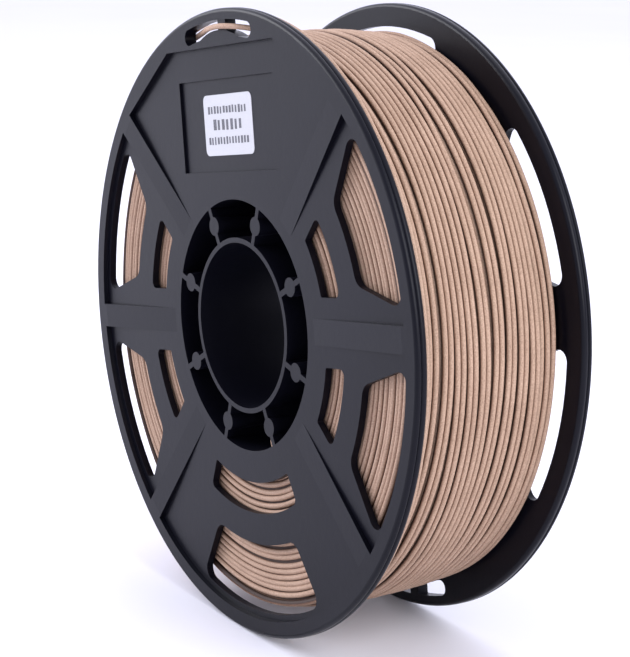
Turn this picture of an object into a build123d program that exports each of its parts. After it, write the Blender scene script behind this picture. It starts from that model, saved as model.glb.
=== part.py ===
from build123d import *

import os
from math import cos, pi, radians, sin, sqrt, tan

# A plastic spool of 3-D printer filament, standing on its rims. Millimetres.
# The spool's axis runs along Y, the labelled face looks to -Y, and +Z is up. The origin is on the axis,
# half way between the two outer faces. The spool is moulded as two identical halves, pressed together at
# mid width. A depth is measured inwards from a half's own outer face.

os.makedirs("parts", exist_ok=True)

# ---- main sizes
spool_width = 63.0
rim_radius = 100.0
rim_inner_radius = 94.6  # the flat rim ends here and the recessed web begins
rim_thickness = 4.0
rim_round = 1.2
rim_groove_start = 1.45  # a shallow groove runs round the rim's outer surface
rim_groove_width = 0.6
rim_groove_depth = 0.35
recess_depth = 1.7  # the web, the ribs and the sleeve all end at this depth
recess_draft = 0.15
drum_radius = 42.5
drum_inner_radius = 40.2
sleeve_radius = 28.1
bore_radius = 26.5
pattern_turn = 8.7  # how far the moulded pattern is rolled round the axis
half_width = spool_width / 2

# ---- spokes, ribs and pegs
spoke_angles = (0, 45, 135, 180, 225, 315)
spoke_width = 8.0
spoke_foot_radius = 44.0  # the tapering spoke has sunk to the level of the web here
spoke_top_radius = 93.0  # and from here outwards it is level with the rim
joint_overlap = 0.6  # how far one moulded feature runs into the next
rib_count = 8
rib_width = 1.8
boss_radius = 3.0
boss_pitch_radius = 34.2
peg_radius = 1.55
peg_length = 6.0
peg_clearance = 0.05
peg_tip_gap = 0.5

# ---- windows in the web
side_windows = (22.5, 157.5, 202.5, 337.5)
bottom_window = 270
outer_window = (70.4, 92.6)  # inner and outer radius
inner_window = (50.4, 60.4)
side_flare = 38.0  # degrees between a window's straight side and its centre line
bottom_flare = 34.0
inner_side_flare = 22.5
inner_bottom_flare = 26.4
outer_reference = 73.3  # distances from the axis at which a window's half width is given
inner_reference = 55.0
side_half_width = 16.0
bottom_half_width = 28.6
inner_side_half_width = 11.4
inner_bottom_half_width = 27.3
large_corner = 5.0
middle_corner = 3.5
small_corner = 2.0
tiny_corner = 0.8

# ---- label panel, label and the slot that clips the free end
land_chord_height = 88.4  # the straight upper edge of the label panel's recess
panel_width = 59.4
panel_bottom = 48.9
panel_top = 78.3
panel_depth = 0.9
label_width = 30.6
label_height = 19.3
label_thickness = 0.15
label_corner = 2.0
label_across = -0.4
label_up = 63.8
slot_radius = 93.95
slot_width = 5.1
slot_angle = 89.6
slot_half_angle = 12.9
slot_hump_radius = 27.9  # the slot's inner edge swells into a hump
slot_hump_across = 1.1
slot_hump_top = 93.3
slot_hump_foot = 90.0
bridge_left = 1.3  # a bridge parts the slot in two, and the filament passes over it
bridge_right = 6.0
bridge_depth = 0.2

# ---- the filament
filament_diameter = 1.75
winding_radius = 92.6
winding_edge_radius = 91.0
winding_half_width = 26.9
tail_angle = -78.7
tail_depth = 6.3
tail_hole_radius = 1.2
tail_tip_radius = 37.4
tail_root_radius = 42.4

# The free end's route: angle round the moulded pattern, distance from the axis, and place along the axis.
# It leaves the winding, goes out through the slot, over the bridge and in again, and then springs out
# against the inside of the front flange for one more turn.
free_end_route = (
    (47.0, 92.8, -26.0),
    (60.0, 93.1, -26.3),
    (70.0, 93.6, -26.4),
    (78.4, 93.9, -26.4),
    (84.6, 94.6, -32.6),
    (91.2, 94.4, -32.6),
    (100.8, 95.2, -26.4),
    (108.0, 95.6, -26.3),
    (120.0, 97.2, -26.2),
    (138.0, 99.3, -26.3),
    (160.0, 99.6, -26.2),
    (184.0, 99.5, -26.3),
    (208.0, 99.3, -26.2),
    (232.0, 99.4, -26.3),
    (256.0, 99.6, -26.3),
    (280.0, 99.4, -26.2),
    (304.0, 99.6, -26.3),
    (328.0, 99.5, -26.2),
    (352.0, 99.4, -26.3),
    (376.0, 99.5, -26.2),
    (399.0, 99.6, -26.3),
    (419.0, 99.6, -26.2),
    (436.0, 99.2, -26.3),
    (450.0, 98.4, -26.2),
    (461.0, 98.2, -26.3),
    (471.0, 98.1, -26.2),
)
arc_share = 0.45  # each bend takes this much of the shorter run beside it


def outer_face(side, angle=0):
    """The plane of a half's outer face, looking out; side is -1 in front and 1 at the rear.

    Its x axis points at the given angle round the half's own moulded pattern. The rear half is the same
    moulding turned over about the pattern's x axis, so its angles run the other way.
    """
    turned = radians(pattern_turn - side * angle)
    return Plane(origin=(0, side * half_width, 0), x_dir=(cos(turned), 0, sin(turned)), z_dir=(0, side, 0))


def radial_section(side, angle=0):
    """The half plane at this angle: local x is the distance from the axis and local y the depth."""
    face = outer_face(side, angle)
    return Plane(origin=face.origin, x_dir=face.x_dir, z_dir=face.y_dir)


def window_corner(radius, reference, half_width_there, flare):
    """Where a window's slanted side meets one of its arcs."""
    slope = tan(radians(flare))
    offset = half_width_there - reference * slope
    along = (sqrt(radius**2 * (1 + slope**2) - offset**2) - slope * offset) / (1 + slope**2)
    return (along, offset + slope * along)


def window_outline(radii, reference, half_width_there, flare, inner_corner, outer_corner):
    """A ring sector about the x axis with straight slanted sides and rounded corners."""
    inner, outer = radii
    near = window_corner(inner, reference, half_width_there, flare)
    far = window_corner(outer, reference, half_width_there, flare)
    with BuildSketch() as outline:
        with BuildLine():
            Line((near[0], -near[1]), (far[0], -far[1]))
            ThreePointArc((far[0], -far[1]), (outer, 0), far)
            Line(far, near)
            ThreePointArc(near, (inner, 0), (near[0], -near[1]))
        make_face()
        corners = outline.vertices().sort_by(Axis.X)
        fillet(corners[2:], outer_corner)
        corners = outline.vertices().sort_by(Axis.X)
        fillet([v for v in corners if v.center().length < inner + 0.01], inner_corner)
    return outline.sketch


side_outer = window_outline(
    outer_window, outer_reference, side_half_width, side_flare, large_corner, middle_corner
)
side_inner = window_outline(
    inner_window, inner_reference, inner_side_half_width, inner_side_flare, tiny_corner, small_corner
)
bottom_outer = window_outline(
    outer_window, outer_reference, bottom_half_width, bottom_flare, large_corner, middle_corner
)
bottom_inner = window_outline(
    inner_window, inner_reference, inner_bottom_half_width, inner_bottom_flare, tiny_corner, small_corner
)


def spool_half(side):
    """One moulded half: flange with its rim, windows and spokes, half the drum and half the sleeve."""
    face = outer_face(side)
    half_depth = half_width
    web_middle = (recess_depth + rim_thickness) / 2
    web_face = face.offset(-recess_depth)
    middle = face.offset(-half_depth)
    with BuildPart() as half:
        # web, rim and drum wall in one turned profile
        with BuildSketch(radial_section(side)) as profile:
            with BuildLine():
                Polyline(
                    (drum_inner_radius, recess_depth),
                    (rim_inner_radius - recess_draft, recess_depth),
                    (rim_inner_radius, 0),
                    (rim_radius, 0),
                    (rim_radius, rim_groove_start),
                    (rim_radius - rim_groove_depth, rim_groove_start + rim_groove_width / 2),
                    (rim_radius, rim_groove_start + rim_groove_width),
                    (rim_radius, rim_thickness),
                    (drum_radius, rim_thickness),
                    (drum_radius, half_depth),
                    (drum_inner_radius, half_depth),
                    close=True,
                )
            make_face()
            rim_edge = profile.vertices().group_by(Axis.X)[-1].sort_by(Axis.Y)
            fillet([rim_edge[0], rim_edge[-1]], rim_round)
        revolve(axis=Axis((0, 0, 0), (0, 1, 0)))

        # tapering spokes
        for angle in spoke_angles:
            with BuildSketch(radial_section(side, angle)):
                with BuildLine():
                    Polyline(
                        (spoke_foot_radius, recess_depth),
                        (spoke_top_radius, 0),
                        (rim_inner_radius + joint_overlap, 0),
                        (rim_inner_radius + joint_overlap, web_middle),
                        (spoke_foot_radius, web_middle),
                        close=True,
                    )
                make_face()
            extrude(amount=spoke_width / 2, both=True)

        # raised land round the slot and beside the label panel's upper corners
        chord_end = sqrt(rim_inner_radius**2 - land_chord_height**2)
        land_outer = rim_inner_radius + joint_overlap
        spoke_edge = sqrt(rim_inner_radius**2 - (spoke_width / 2) ** 2)
        corner_x = (spoke_edge - spoke_width / 2) / sqrt(2)
        corner_y = (spoke_edge + spoke_width / 2) / sqrt(2)
        stretch = land_outer / rim_inner_radius
        with BuildSketch(face):
            with BuildLine():
                Polyline(
                    (corner_y * stretch, corner_x * stretch),
                    (corner_y, corner_x),
                    (corner_x, corner_y),
                    (chord_end, land_chord_height),
                    (-chord_end, land_chord_height),
                    (-corner_x, corner_y),
                    (-corner_y, corner_x),
                    (-corner_y * stretch, corner_x * stretch),
                )
                ThreePointArc(
                    (-corner_y * stretch, corner_x * stretch),
                    (0, land_outer),
                    (corner_y * stretch, corner_x * stretch),
                )
            make_face()
        extrude(amount=-web_middle)

        # sleeve, ribs and bosses
        with BuildSketch(web_face):
            Circle(sleeve_radius)
            with PolarLocations((sleeve_radius + drum_inner_radius) / 2, rib_count, start_angle=22.5):
                Rectangle(drum_inner_radius - sleeve_radius + 2 * joint_overlap, rib_width)
            with PolarLocations(boss_pitch_radius, rib_count, start_angle=22.5):
                Circle(boss_radius)
            Circle(bore_radius, mode=Mode.SUBTRACT)
        extrude(amount=recess_depth - half_depth)

        # windows
        with BuildSketch(face):
            for angle in side_windows:
                add(side_outer, rotation=angle)
                add(side_inner, rotation=angle)
            add(bottom_outer, rotation=bottom_window)
            add(bottom_inner, rotation=bottom_window)
        extrude(amount=-rim_thickness, mode=Mode.SUBTRACT)

        # label panel
        with BuildSketch(web_face):
            with Locations((0, (panel_bottom + panel_top) / 2)):
                Rectangle(panel_width, panel_top - panel_bottom)
        extrude(amount=-panel_depth, mode=Mode.SUBTRACT)

        # slot with its hump and its bridge
        cap_angle = slot_width / 2 / slot_radius * 180 / pi
        slot_start = slot_angle - slot_half_angle + cap_angle
        with BuildLine(mode=Mode.PRIVATE) as slot_line:
            CenterArc((0, 0), slot_radius, slot_start, 2 * (slot_angle - slot_start))
        with BuildSketch(face):
            SlotArc(slot_line.edge(), slot_width)
        extrude(amount=-rim_thickness, mode=Mode.SUBTRACT)
        with BuildSketch(face):
            with Locations((slot_hump_across, slot_hump_top - slot_hump_radius)):
                Circle(slot_hump_radius)
            with Locations((slot_hump_across, (slot_hump_foot + slot_hump_top) / 2)):
                Rectangle(
                    2 * slot_hump_radius, slot_hump_top - slot_hump_foot + joint_overlap, mode=Mode.INTERSECT
                )
        extrude(amount=-rim_thickness)
        with BuildSketch(face.offset(-bridge_depth)):
            with Locations(((bridge_left + bridge_right) / 2, slot_radius)):
                Rectangle(bridge_right - bridge_left, slot_width + joint_overlap)
        extrude(amount=bridge_depth - rim_thickness)

        # hole through the drum wall for the filament's first end
        tail_plane = outer_face(side, tail_angle)
        hole_start = tail_plane.from_local_coords((drum_inner_radius - joint_overlap, 0, -tail_depth))
        with BuildSketch(Plane(origin=hole_start, z_dir=tail_plane.x_dir)):
            Circle(tail_hole_radius)
        extrude(amount=drum_radius - drum_inner_radius + 2 * joint_overlap, mode=Mode.SUBTRACT)

        # pegs on every second boss, sockets in the bosses between them
        with BuildSketch(middle):
            with PolarLocations(boss_pitch_radius, rib_count // 2, start_angle=22.5):
                Circle(peg_radius)
        extrude(amount=-peg_length)
        with BuildSketch(middle):
            with PolarLocations(boss_pitch_radius, rib_count // 2, start_angle=67.5):
                Circle(peg_radius + peg_clearance)
        extrude(amount=peg_length + peg_tip_gap, mode=Mode.SUBTRACT)
    return half.part


front_half = spool_half(-1)
front_half.label = "front_half"
export_step(front_half, "parts/front_half.step")

rear_half = spool_half(1)
rear_half.label = "rear_half"
export_step(rear_half, "parts/rear_half.step")

# ---- paper label, stuck to the floor of the panel
with BuildPart() as label_sticker:
    with BuildSketch(outer_face(-1).offset(-recess_depth - panel_depth)):
        with Locations((label_across, label_up)):
            RectangleRounded(label_width, label_height, label_corner)
    extrude(amount=label_thickness)
label_sticker.part.label = "label_sticker"
export_step(label_sticker.part, "parts/label_sticker.step")

# ---- the wound filament, as one ring with a slightly crowned surface
with BuildPart() as filament_winding:
    with BuildSketch(Plane.XY):
        with BuildLine():
            Line((drum_radius, -winding_half_width), (drum_radius, winding_half_width))
            Line((drum_radius, winding_half_width), (winding_edge_radius, winding_half_width))
            ThreePointArc(
                (winding_edge_radius, winding_half_width),
                (winding_radius, 0),
                (winding_edge_radius, -winding_half_width),
            )
            Line((winding_edge_radius, -winding_half_width), (drum_radius, -winding_half_width))
        make_face()
    revolve(axis=Axis((0, 0, 0), (0, 1, 0)))
filament_winding.part.label = "filament_winding"
export_step(filament_winding.part, "parts/filament_winding.step")

# ---- the filament's first end, pushed through the hole in the drum wall
tail_face = outer_face(-1, tail_angle)
tail_tip = tail_face.from_local_coords((tail_tip_radius, 0, -tail_depth))
with BuildPart() as filament_start_tail:
    with BuildSketch(Plane(origin=tail_tip, z_dir=tail_face.x_dir)):
        Circle(filament_diameter / 2)
    extrude(amount=tail_root_radius - tail_tip_radius)
filament_start_tail.part.label = "filament_start_tail"
export_step(filament_start_tail.part, "parts/filament_start_tail.step")


# ---- the filament's free end, clipped in the front slot
def on_pattern(angle, radius, along):
    """A point given round the moulded pattern, in the spool's own frame."""
    turned = radians(angle + pattern_turn)
    return Vector(radius * cos(turned), along, radius * sin(turned))


route = [on_pattern(*place) for place in free_end_route]
bend_radii = []
for before, corner, after in zip(route, route[1:], route[2:]):
    run_in = corner - before
    run_out = after - corner
    half_turn = radians(run_in.get_angle(run_out) / 2)
    bend_radii.append(arc_share * min(run_in.length, run_out.length) / tan(half_turn))

with BuildPart() as filament_free_end:
    with BuildLine() as free_line:
        FilletPolyline(*route, radius=bend_radii)
    with BuildSketch(Plane(origin=route[0], z_dir=route[1] - route[0])):
        Circle(filament_diameter / 2)
    sweep(path=free_line.wires()[0])
filament_free_end.part.label = "filament_free_end"
export_step(filament_free_end.part, "parts/filament_free_end.step")

line_length = free_line.wires()[0].length
section_area = pi * filament_diameter**2 / 4
print("free end length", round(line_length, 1), "bend radii", [round(r, 1) for r in bend_radii])
print("free end volume over section times length", filament_free_end.part.volume / section_area / line_length)
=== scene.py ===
from math import cos, pi, radians, sin

import bpy
import numpy as np
from mathutils import Euler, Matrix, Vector


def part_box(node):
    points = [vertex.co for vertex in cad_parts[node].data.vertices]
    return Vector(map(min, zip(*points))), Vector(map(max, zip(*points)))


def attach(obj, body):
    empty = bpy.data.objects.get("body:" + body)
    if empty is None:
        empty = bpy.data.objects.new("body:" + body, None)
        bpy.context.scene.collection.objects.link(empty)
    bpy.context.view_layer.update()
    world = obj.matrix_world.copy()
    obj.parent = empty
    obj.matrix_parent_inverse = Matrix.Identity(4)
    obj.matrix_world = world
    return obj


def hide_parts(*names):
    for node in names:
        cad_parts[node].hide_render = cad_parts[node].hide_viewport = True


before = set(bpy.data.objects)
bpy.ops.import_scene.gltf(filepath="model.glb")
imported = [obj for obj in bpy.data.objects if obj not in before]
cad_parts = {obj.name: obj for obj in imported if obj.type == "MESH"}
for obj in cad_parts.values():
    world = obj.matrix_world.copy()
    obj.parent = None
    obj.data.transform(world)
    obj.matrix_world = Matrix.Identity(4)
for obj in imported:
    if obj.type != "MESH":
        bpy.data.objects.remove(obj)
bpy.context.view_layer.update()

# ---- places and sizes, in metres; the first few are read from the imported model
mm = 0.001
rim_radius = (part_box("rear_half")[1][0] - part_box("rear_half")[0][0]) / 2
half_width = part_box("rear_half")[1][1]
winding_half_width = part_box("filament_winding")[1][1]
winding_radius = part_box("filament_winding")[1][0]
crown_rise = 1.6 * mm  # how much higher the winding stands half way along than at its edges
winding_edge_radius = winding_radius - crown_rise
drum_radius = 42.5 * mm
filament_diameter = 1.75 * mm
strand_diameter = 1.95 * mm  # a wound strand as it looks, wider than the filament's nominal size
pattern_turn = 8.7  # degrees; how far the moulded pattern is rolled round the spool's axis
label_depth = 2.45 * mm
label_shift = -0.4  # millimetres; the print's middle is this far across the moulded pattern
print_height = 0.02 * mm
rng = np.random.default_rng(17)


def around(angle, radius, along):
    """A point given by its angle round the moulded pattern, its distance from the axis and its Y."""
    turned = radians(angle + pattern_turn)
    return Vector((radius * cos(turned), along, radius * sin(turned)))


# ---- camera
def make_camera():
    """The photograph's view, from the right of the labelled face and a little above the axis."""
    lens = bpy.data.cameras.new("camera")
    lens.sensor_width = 36.0
    lens.lens = 111.6
    lens.clip_start = 0.01
    camera = bpy.data.objects.new("camera", lens)
    camera.location = (0.5467, -0.3472, 0.1419)
    azimuth, elevation, roll = 57.73, 12.71, 0.80
    camera.rotation_mode = "QUATERNION"
    aim = Euler((radians(90 - elevation), 0, radians(azimuth)), "XYZ").to_quaternion()
    camera.rotation_quaternion = aim @ Euler((0, 0, radians(roll)), "XYZ").to_quaternion()
    bpy.context.scene.collection.objects.link(camera)
    bpy.context.scene.camera = camera


# ---- materials
def new_material(name):
    """A new material, its node tree and its shader."""
    material = bpy.data.materials.new(name)
    material.use_nodes = True
    return material, material.node_tree, material.node_tree.nodes["Principled BSDF"]


def noise(tree, scale, detail=4.0, stretch=(1, 1, 1)):
    """A noise texture in object space; scale is in features per metre."""
    place = tree.nodes.new("ShaderNodeTexCoord")
    mapping = tree.nodes.new("ShaderNodeMapping")
    mapping.inputs["Scale"].default_value = stretch
    texture = tree.nodes.new("ShaderNodeTexNoise")
    texture.inputs["Scale"].default_value = scale
    texture.inputs["Detail"].default_value = detail
    tree.links.new(place.outputs["Object"], mapping.inputs["Vector"])
    tree.links.new(mapping.outputs["Vector"], texture.inputs["Vector"])
    return texture


def ramp(tree, source, stops):
    """A colour ramp on a texture's value; stops are (position, colour)."""
    node = tree.nodes.new("ShaderNodeValToRGB")
    elements = node.color_ramp.elements
    while len(elements) < len(stops):
        elements.new(0.5)
    for element, (position, colour) in zip(elements, stops):
        element.position = position
        element.color = (*colour, 1)
    tree.links.new(source, node.inputs["Fac"])
    return node.outputs["Color"]


def multiply(tree, first, second):
    """Two colours multiplied."""
    mix = tree.nodes.new("ShaderNodeMix")
    mix.data_type = "RGBA"
    mix.blend_type = "MULTIPLY"
    mix.inputs["Factor"].default_value = 1.0
    tree.links.new(first, mix.inputs["A"])
    tree.links.new(second, mix.inputs["B"])
    return mix.outputs["Result"]


def bump(tree, shader, layers):
    """Chained bumps; layers are (height socket, distance in metres)."""
    normal = None
    for height, distance in layers:
        node = tree.nodes.new("ShaderNodeBump")
        node.inputs["Strength"].default_value = 1.0
        node.inputs["Distance"].default_value = distance
        tree.links.new(height, node.inputs["Height"])
        if normal is not None:
            tree.links.new(normal, node.inputs["Normal"])
        normal = node.outputs["Normal"]
    tree.links.new(normal, shader.inputs["Normal"])


def spool_plastic():
    """Satin black polystyrene: a fine spark-eroded grain, faint flow marks and slightly uneven gloss."""
    material, tree, shader = new_material("spool_plastic")
    flow = noise(tree, 22, 3, (1, 1, 0.45))
    grain = noise(tree, 2600, 2)
    dimple = noise(tree, 420, 3)
    stops = [(0.3, (0.0026, 0.0026, 0.0052)), (0.7, (0.0042, 0.0042, 0.0080))]
    colour = ramp(tree, flow.outputs["Fac"], stops)
    tree.links.new(colour, shader.inputs["Base Color"])
    gloss = ramp(tree, flow.outputs["Fac"], [(0.25, (0.31, 0.31, 0.31)), (0.75, (0.39, 0.39, 0.39))])
    tree.links.new(gloss, shader.inputs["Roughness"])
    shader.inputs["Specular IOR Level"].default_value = 0.14
    bump(tree, shader, [(grain.outputs["Fac"], 0.00001), (dimple.outputs["Fac"], 0.00003)])
    return material


def filament_plastic(name, with_painted_shade):
    """Wood-filled filament: matt tan, with a fine speckle, slow changes of tint and a rough skin.

    Wound strands carry painted shade: their colour is darkened by how deep each point lies in the crevices
    beside its neighbours, as painted crevice shadow.
    """
    material, tree, shader = new_material(name)
    speckle = noise(tree, 2400, 3)
    tint = noise(tree, 90, 3)
    light = ramp(tree, speckle.outputs["Fac"], [(0.30, (0.32, 0.203, 0.138)), (0.62, (0.485, 0.327, 0.231))])
    shade = ramp(tree, tint.outputs["Fac"], [(0.3, (0.88, 0.86, 0.84)), (0.7, (1.0, 1.0, 1.0))])
    colour = multiply(tree, light, shade)
    # painted shade: darkens the strands' sides and undersides towards near black, where the crevices between
    # turns lie in shadow
    if with_painted_shade:
        depth = tree.nodes.new("ShaderNodeAttribute")
        depth.attribute_name = "painted_crevice_shade"
        stops = [
            (0.0, (1.0, 1.0, 1.0)), (0.30, (0.88, 0.85, 0.82)),
            (0.58, (0.44, 0.34, 0.28)), (0.82, (0.09, 0.06, 0.045)),
        ]
        colour = multiply(tree, colour, ramp(tree, depth.outputs["Fac"], stops))
    tree.links.new(colour, shader.inputs["Base Color"])
    shader.inputs["Roughness"].default_value = 0.68
    shader.inputs["Specular IOR Level"].default_value = 0.4
    bump(tree, shader, [(speckle.outputs["Fac"], 0.00012)])
    return material


def label_paper():
    """Smooth white label paper with a faint fibre."""
    material, tree, shader = new_material("label_paper")
    fibre = noise(tree, 1500, 4, (1, 1, 3))
    colour = ramp(tree, fibre.outputs["Fac"], [(0.3, (0.45, 0.45, 0.47)), (0.7, (0.48, 0.48, 0.50))])
    tree.links.new(colour, shader.inputs["Base Color"])
    shader.inputs["Roughness"].default_value = 0.55
    bump(tree, shader, [(fibre.outputs["Fac"], 0.00001)])
    return material


def label_ink():
    """Thermal-printed grey."""
    material, tree, shader = new_material("label_ink")
    dots = noise(tree, 6000, 1)
    colour = ramp(tree, dots.outputs["Fac"], [(0.4, (0.04, 0.04, 0.05)), (0.6, (0.12, 0.12, 0.14))])
    tree.links.new(colour, shader.inputs["Base Color"])
    shader.inputs["Roughness"].default_value = 0.6
    return material


def floor_white():
    """A light grey studio floor that the lamps bring up to white."""
    material, tree, shader = new_material("floor_white")
    cloud = noise(tree, 3, 2)
    colour = ramp(tree, cloud.outputs["Fac"], [(0.3, (0.78, 0.77, 0.81)), (0.7, (0.80, 0.79, 0.83))])
    tree.links.new(colour, shader.inputs["Base Color"])
    shader.inputs["Roughness"].default_value = 0.9
    shader.inputs["Specular IOR Level"].default_value = 0.1
    return material


plastic = spool_plastic()
filament = filament_plastic("filament_plastic", with_painted_shade=False)
wound_filament = filament_plastic("wound_filament", with_painted_shade=True)


def add_mesh(name, vertices, faces, material, smooth=True):
    """A new mesh piece with one material."""
    mesh = bpy.data.meshes.new(name)
    mesh.from_pydata([tuple(v) for v in vertices], [], [tuple(f) for f in faces])
    mesh.update()
    if smooth:
        mesh.polygons.foreach_set("use_smooth", [True] * len(mesh.polygons))
    mesh.materials.append(material)
    piece = bpy.data.objects.new(name, mesh)
    bpy.context.scene.collection.objects.link(piece)
    return piece


# ---- the wound filament
samples_per_turn = 160
strand_sides = 10
# the faces that close a ten-sided end
strand_cap = np.array([(0, 1, 2, 9), (9, 2, 3, 8), (8, 3, 4, 7), (7, 4, 5, 6)])
surface_margin = 0.3 * mm  # no strand's middle comes nearer than this to the crown
least_pitch = 1.96 * mm  # neighbouring turns lie side by side at this pitch
rear_drop = 0.7 * mm  # the winding is a little thinner at the rear flange
turn_angles = 2 * pi * np.arange(samples_per_turn) / samples_per_turn


def crown(along):
    """The radius of the winding's surface: greatest half way along, and least at the rear flange."""
    drop = rear_drop * np.maximum(along / winding_half_width, 0) ** 1.5
    return winding_edge_radius + crown_rise * (1 - (along / winding_half_width) ** 2) - drop


def wander(turns, strength, shortest=0.4, longest=3.0, waves=9):
    """Smooth random drift along a path of so many turns: what the winder's guide leaves uneven."""
    along = np.arange(round(turns * samples_per_turn)) / samples_per_turn
    drift = np.zeros(len(along))
    for _ in range(waves):
        turns_per_wave = rng.uniform(shortest, longest)
        drift += rng.normal() * np.sin(2 * pi * (along / turns_per_wave + rng.random()))
    return drift * strength / np.sqrt(waves / 2)


def smooth_along(values, reach):
    """A moving average along the path; filament is stiff and doesn't follow a sharp dip."""
    kernel = np.hanning(2 * reach + 3)[1:-1]
    padded = np.pad(values, reach, mode="edge")
    return np.convolve(padded, kernel / kernel.sum(), mode="valid")


def split_turns(*paths):
    """Paths cut into whole turns, the last one perhaps shorter."""
    starts = range(0, len(paths[0]), samples_per_turn)
    return [tuple(path[start:start + samples_per_turn] for path in paths) for start in starts]


def settle(along, floor_radii, laid):
    """The radius at which each point of a new path rests on the turns already laid, and on itself."""
    radii = floor_radii.copy()
    below = list(laid)
    for turn, (places, floor) in enumerate(split_turns(along, floor_radii)):
        best = floor.copy()
        for other_places, other_radii in below:
            count = min(len(places), len(other_places))
            gap = np.abs(places[:count] - other_places[:count])
            lift = np.sqrt(np.maximum(strand_diameter**2 - gap**2, 0))
            rest = np.where(gap < strand_diameter, other_radii[:count] + lift, 0)
            best[:count] = np.maximum(best[:count], rest)
        radii[turn * samples_per_turn:turn * samples_per_turn + len(best)] = best
        below.append((places, best))
    return radii


def strand(angles, radii, along, outward, closed=False):
    """A round strand along a path round the spool's axis, and the painted shade of each point: darker the
    more it faces away from where the strand is seen, as if in the crevice beside its neighbours.

    outward is the direction in which the strand is seen, as (radial, axial).
    """
    sides = 2 * pi * np.arange(strand_sides) / strand_sides
    reach = strand_diameter / 2
    ring = radii[:, None] + reach * np.cos(sides)
    across = along[:, None] + reach * np.sin(sides)
    turned = angles[:, None]
    points = np.stack([ring * np.cos(turned), across, ring * np.sin(turned)], axis=-1).reshape(-1, 3)
    # painted shade: 0 on the side that faces outward, rising to 1 on the sides and underside, which the wound
    # colour darkens as crevice shadow
    facing = np.cos(sides) * outward[0] + np.sin(sides) * outward[1]
    painted_crevice_shade = np.tile(np.clip((1 - facing) / 1.25, 0, 1), len(angles))
    count = len(angles)
    here = np.arange(count if closed else count - 1)[:, None] * strand_sides
    following = (here + strand_sides) % (count * strand_sides)
    side = np.arange(strand_sides)
    beside = (side + 1) % strand_sides
    faces = np.stack([here + side, following + side, following + beside, here + beside], axis=-1)
    faces = faces.reshape(-1, 4)
    if not closed:
        last = (count - 1) * strand_sides
        faces = np.concatenate([faces, strand_cap, strand_cap[:, ::-1] + last])
    return points, faces, painted_crevice_shade


def join_strands(name, strands):
    """One piece from several strands."""
    points, faces, painted_crevice_shade, offset = [], [], [], 0
    for strand_points, strand_faces, strand_painted_shade in strands:
        points.append(strand_points)
        faces.append(strand_faces + offset)
        painted_crevice_shade.append(strand_painted_shade)
        offset += len(strand_points)
    piece = add_mesh(name, np.concatenate(points), np.concatenate(faces), wound_filament)
    # the painted crevice shade, kept on the points for the wound filament's colour
    shade = piece.data.attributes.new("painted_crevice_shade", "FLOAT", "POINT")
    shade.data.foreach_set("value", np.concatenate(painted_crevice_shade))
    return piece


def outer_layers():
    """Layers of turns, each laid the other way across the drum and settled on those below."""
    limit = winding_half_width - strand_diameter / 2
    # depth of the strand's middle below the surface, pitch, and how far it strays
    layers = ((4.8, 2.1, 0.15), (3.4, 2.2, 0.4), (1.8, 2.3, 1.25))
    laid, pieces = [], []
    for number, (depth, pitch, strays) in enumerate(layers, 1):
        turns = 2 * limit / (pitch * mm)
        steps = np.arange(round(turns * samples_per_turn)) / samples_per_turn
        path = steps * pitch * mm - limit + wander(turns, strays * mm)[:len(steps)]
        for i in range(samples_per_turn, len(path)):
            path[i] = max(path[i], path[i - samples_per_turn] + least_pitch)
        along = np.clip(path, -limit, limit)
        if number % 2 == 0:
            along = -along
        radii = settle(along, crown(along) - depth * mm, laid)
        radii = np.minimum(smooth_along(radii, 6), crown(along) - surface_margin)
        # seen from outside, so painted crevice shade darkens each strand's sides and underside
        pieces.append(join_strands(f"winding_layer_{number}", [strand(2 * pi * steps, radii, along, (1, 0))]))
        laid += split_turns(along, radii)
    return pieces


def side_face(name, sign):
    """Closed rings that stand for the turns at each layer's edge, seen through the flange's windows."""
    strands = []
    radius = drum_radius + 1.0 * mm
    while radius < crown(sign * winding_half_width) - 1.9 * mm:
        phases = rng.uniform(0, 2 * pi, 3)
        drift = 0.28 * mm * np.sin(turn_angles + phases[0]) + 0.14 * mm * np.sin(2 * turn_angles + phases[1])
        sunk = 0.12 * mm * (1 + np.sin(turn_angles + phases[2]))
        along = sign * (winding_half_width - strand_diameter / 2 - sunk)
        # seen along the axis, so painted crevice shade darkens the sides that face into the winding
        strands.append(strand(turn_angles, radius + drift, along, (0, sign), closed=True))
        radius += rng.uniform(1.9, 2.25) * mm
    return join_strands(name, strands)


def core_ring():
    """What lies below the turns that show: one ring, a little inside them, painted near black as the shade it
    lies in.
    """
    inner, outer = drum_radius + 0.1 * mm, winding_edge_radius - rear_drop - 4.3 * mm
    reach = winding_half_width - 1.2 * mm
    profile = [(inner, -reach), (outer, -reach), (outer, reach), (inner, reach)]
    points = [(r * cos(t), y, r * sin(t)) for t in turn_angles for r, y in profile]
    faces = []
    for i in range(samples_per_turn):
        j = (i + 1) % samples_per_turn
        for k in range(4):
            m = (k + 1) % 4
            faces.append((4 * i + k, 4 * i + m, 4 * j + m, 4 * j + k))
    piece = add_mesh("winding_core", points, faces, wound_filament, smooth=False)
    shade = piece.data.attributes.new("painted_crevice_shade", "FLOAT", "POINT")
    # painted shade: one high value paints the whole ring near black
    shade.data.foreach_set("value", [0.9] * len(points))
    return piece


def make_winding():
    """All of the wound filament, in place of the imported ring."""
    pieces = outer_layers()
    pieces.append(side_face("winding_front_face", -1))
    pieces.append(side_face("winding_rear_face", 1))
    pieces.append(core_ring())
    for piece in pieces:
        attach(piece, "root")
        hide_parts("filament_winding")


# ---- the rims' outer surfaces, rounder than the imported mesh
rim_round = 1.2  # millimetres, as are the other sizes of the rim's outline
rim_thickness = 4.0
rim_groove = (1.45, 1.60, 1.90, 2.05)
rim_groove_depth = 0.35
skin = 0.015


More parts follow.
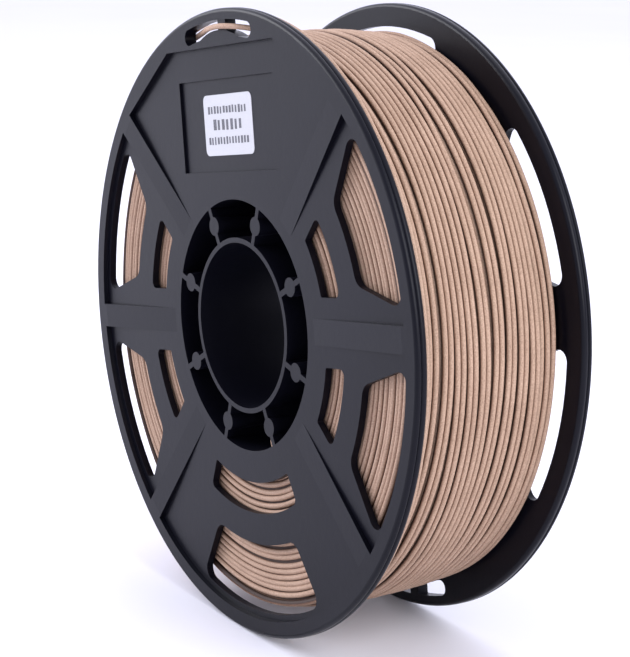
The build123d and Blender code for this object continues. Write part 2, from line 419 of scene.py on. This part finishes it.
def rim_outline():
    """The rim's outer outline as (depth, radius), from its front rounding to its back one."""
    outer = rim_radius / mm + skin
    round_steps = [radians(degrees) for degrees in range(6, 91, 7)]
    front = [
        (rim_round - (rim_round + skin) * cos(step), outer - (rim_round + skin) * (1 - sin(step)))
        for step in round_steps
    ]
    sunk = outer - rim_groove_depth
    groove = [(rim_groove[0], outer), (rim_groove[1], sunk), (rim_groove[2], sunk), (rim_groove[3], outer)]
    back = [(rim_thickness - depth, radius) for depth, radius in reversed(front)]
    return front + groove + back


def rim_skin(name, sign):
    """The rounded outer surface of one rim, with its groove."""
    count = 720
    profile = [(radius * mm, sign * (half_width - depth * mm)) for depth, radius in rim_outline()]
    across = len(profile)
    points = []
    for step in range(count):
        turned = 2 * pi * step / count
        points += [(radius * cos(turned), along, radius * sin(turned)) for radius, along in profile]
    faces = []
    for step in range(count):
        here, following = step * across, (step + 1) % count * across
        for k in range(across - 1):
            face = (here + k, here + k + 1, following + k + 1, following + k)
            faces.append(face if sign < 0 else face[::-1])
    piece = add_mesh(name, points, faces, plastic)
    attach(piece, "root")


# ---- print on the label: rows of plain marks, with no lettering
def on_face(across, up, depth):
    """A point on the labelled face, in millimetres across and up its moulded pattern."""
    turned = radians(pattern_turn)
    return (
        mm * (across * cos(turned) - up * sin(turned)),
        depth - half_width,
        mm * (across * sin(turned) + up * cos(turned)),
    )


def print_row(name, middle, height, marks, width):
    """A row of short upright marks of uneven width."""
    points, faces = [], []
    place = -width / 2
    step = width / marks
    for _ in range(marks):
        mark = step * rng.uniform(0.45, 0.75)
        left, right = place, place + mark
        low = middle - height / 2 * rng.uniform(0.75, 1.0)
        high = middle + height / 2 * rng.uniform(0.75, 1.0)
        first = len(points)
        corners = ((left, low), (right, low), (right, high), (left, high))
        points += [on_face(label_shift + across, up, label_depth - print_height) for across, up in corners]
        faces.append((first, first + 1, first + 2, first + 3))
        place += step
    piece = add_mesh(name, points, faces, label_ink_material, smooth=False)
    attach(piece, "root")


def make_print():
    """Three rows of marks, each given by its height up the face, mark height, marks and width."""
    print_row("label_row_top", 68.6, 2.6, 13, 25.0)
    print_row("label_row_middle", 63.9, 3.6, 7, 19.0)
    print_row("label_row_bottom", 58.9, 2.6, 14, 26.0)


# ---- the filament's free end, clipped over the bridge in the front slot
# angle round the moulded pattern, distance from the axis and place along it, in mm
free_end_route = (
    (47.0, 92.8, -26.0),
    (60.0, 93.1, -26.3),
    (70.0, 93.6, -26.4),
    (78.4, 93.9, -26.4),
    (84.6, 94.6, -32.6),
    (91.2, 94.4, -32.6),
    (100.8, 95.2, -26.4),
    (108.0, 95.6, -26.3),
    (120.0, 97.2, -26.2),
    (138.0, 99.3, -26.3),
    (160.0, 99.6, -26.2),
    (184.0, 99.5, -26.3),
    (208.0, 99.3, -26.2),
    (232.0, 99.4, -26.3),
    (256.0, 99.6, -26.3),
    (280.0, 99.4, -26.2),
    (304.0, 99.6, -26.3),
    (328.0, 99.5, -26.2),
    (352.0, 99.4, -26.3),
    (376.0, 99.5, -26.2),
    (399.0, 99.6, -26.3),
    (419.0, 99.6, -26.2),
    (436.0, 99.2, -26.3),
    (450.0, 98.4, -26.2),
    (461.0, 98.2, -26.3),
    (471.0, 98.1, -26.2),
)


def make_free_end():
    """The loose end of the filament, as a cord."""
    curve = bpy.data.curves.new("filament_end", "CURVE")
    curve.dimensions = "3D"
    curve.bevel_depth = filament_diameter / 2
    curve.bevel_resolution = 4
    curve.use_fill_caps = True
    points = [around(angle, radius * mm, along * mm) for angle, radius, along in free_end_route]
    spline = curve.splines.new("NURBS")
    spline.points.add(len(points) - 1)
    for place, point in zip(spline.points, points):
        place.co = (*point, 1)
    spline.order_u = 3
    spline.use_endpoint_u = True
    spline.resolution_u = 12
    curve.materials.append(filament)
    piece = bpy.data.objects.new("filament_end", curve)
    bpy.context.scene.collection.objects.link(piece)
    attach(piece, "root")
    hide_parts("filament_free_end")


# ---- surroundings
def make_floor():
    """A flat floor under the rims."""
    size = 6.0
    level = -rim_radius
    floor = add_mesh(
        "floor",
        [(-size, -size, level), (size, -size, level), (size, size, level), (-size, size, level)],
        [(0, 1, 2, 3)],
        floor_white(),
        smooth=False,
    )


def softbox(name, place, size, power, colour=(1, 1, 1)):
    """A rectangular lamp aimed at the spool's middle; sizes in metres, power in watts."""
    lamp = bpy.data.lights.new(name, "AREA")
    lamp.shape = "RECTANGLE"
    lamp.size, lamp.size_y = size
    lamp.energy = power
    lamp.color = colour
    holder = bpy.data.objects.new(name, lamp)
    holder.location = place
    holder.rotation_euler = (-Vector(place)).to_track_quat("-Z", "Y").to_euler()
    bpy.context.scene.collection.objects.link(holder)


def make_light():
    """A room that is bright on the left and dim on the right, with three rectangular lamps."""
    world = bpy.data.worlds.new("studio")
    bpy.context.scene.world = world
    world.use_nodes = True
    tree = world.node_tree
    place = tree.nodes.new("ShaderNodeTexCoord")
    split = tree.nodes.new("ShaderNodeSeparateXYZ")
    spread = tree.nodes.new("ShaderNodeMapRange")
    spread.inputs["From Min"].default_value = -0.5
    spread.inputs["From Max"].default_value = 0.6
    tree.links.new(place.outputs["Generated"], split.inputs["Vector"])
    tree.links.new(split.outputs["X"], spread.inputs["Value"])
    sides = ramp(tree, spread.outputs["Result"], [(0.0, (0.92, 0.93, 1.10)), (1.0, (0.42, 0.43, 0.50))])
    tree.links.new(sides, tree.nodes["Background"].inputs["Color"])
    tree.nodes["Background"].inputs["Strength"].default_value = 1.7
    softbox("window", (1.15, 0.20, 0.62), (0.8, 0.9), 16, (0.93, 0.95, 1.0))
    softbox("key", (-1.3, -0.95, 0.60), (0.9, 0.9), 20, (0.95, 0.96, 1.0))
    softbox("overhead", (-0.3, 0.3, 1.6), (1.0, 1.0), 3)
    bpy.context.scene.view_settings.view_transform = "Standard"


def dress(node, material):
    """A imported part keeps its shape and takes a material."""
    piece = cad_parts[node]
    piece.data.materials.clear()
    piece.data.materials.append(material)


label_ink_material = label_ink()
make_camera()
make_free_end()
make_winding()
dress("front_half", plastic)
dress("rear_half", plastic)
dress("filament_start_tail", filament)
dress("label_sticker", label_paper())
rim_skin("front_rim_skin", -1)
rim_skin("rear_rim_skin", 1)
make_print()
make_floor()
make_light()
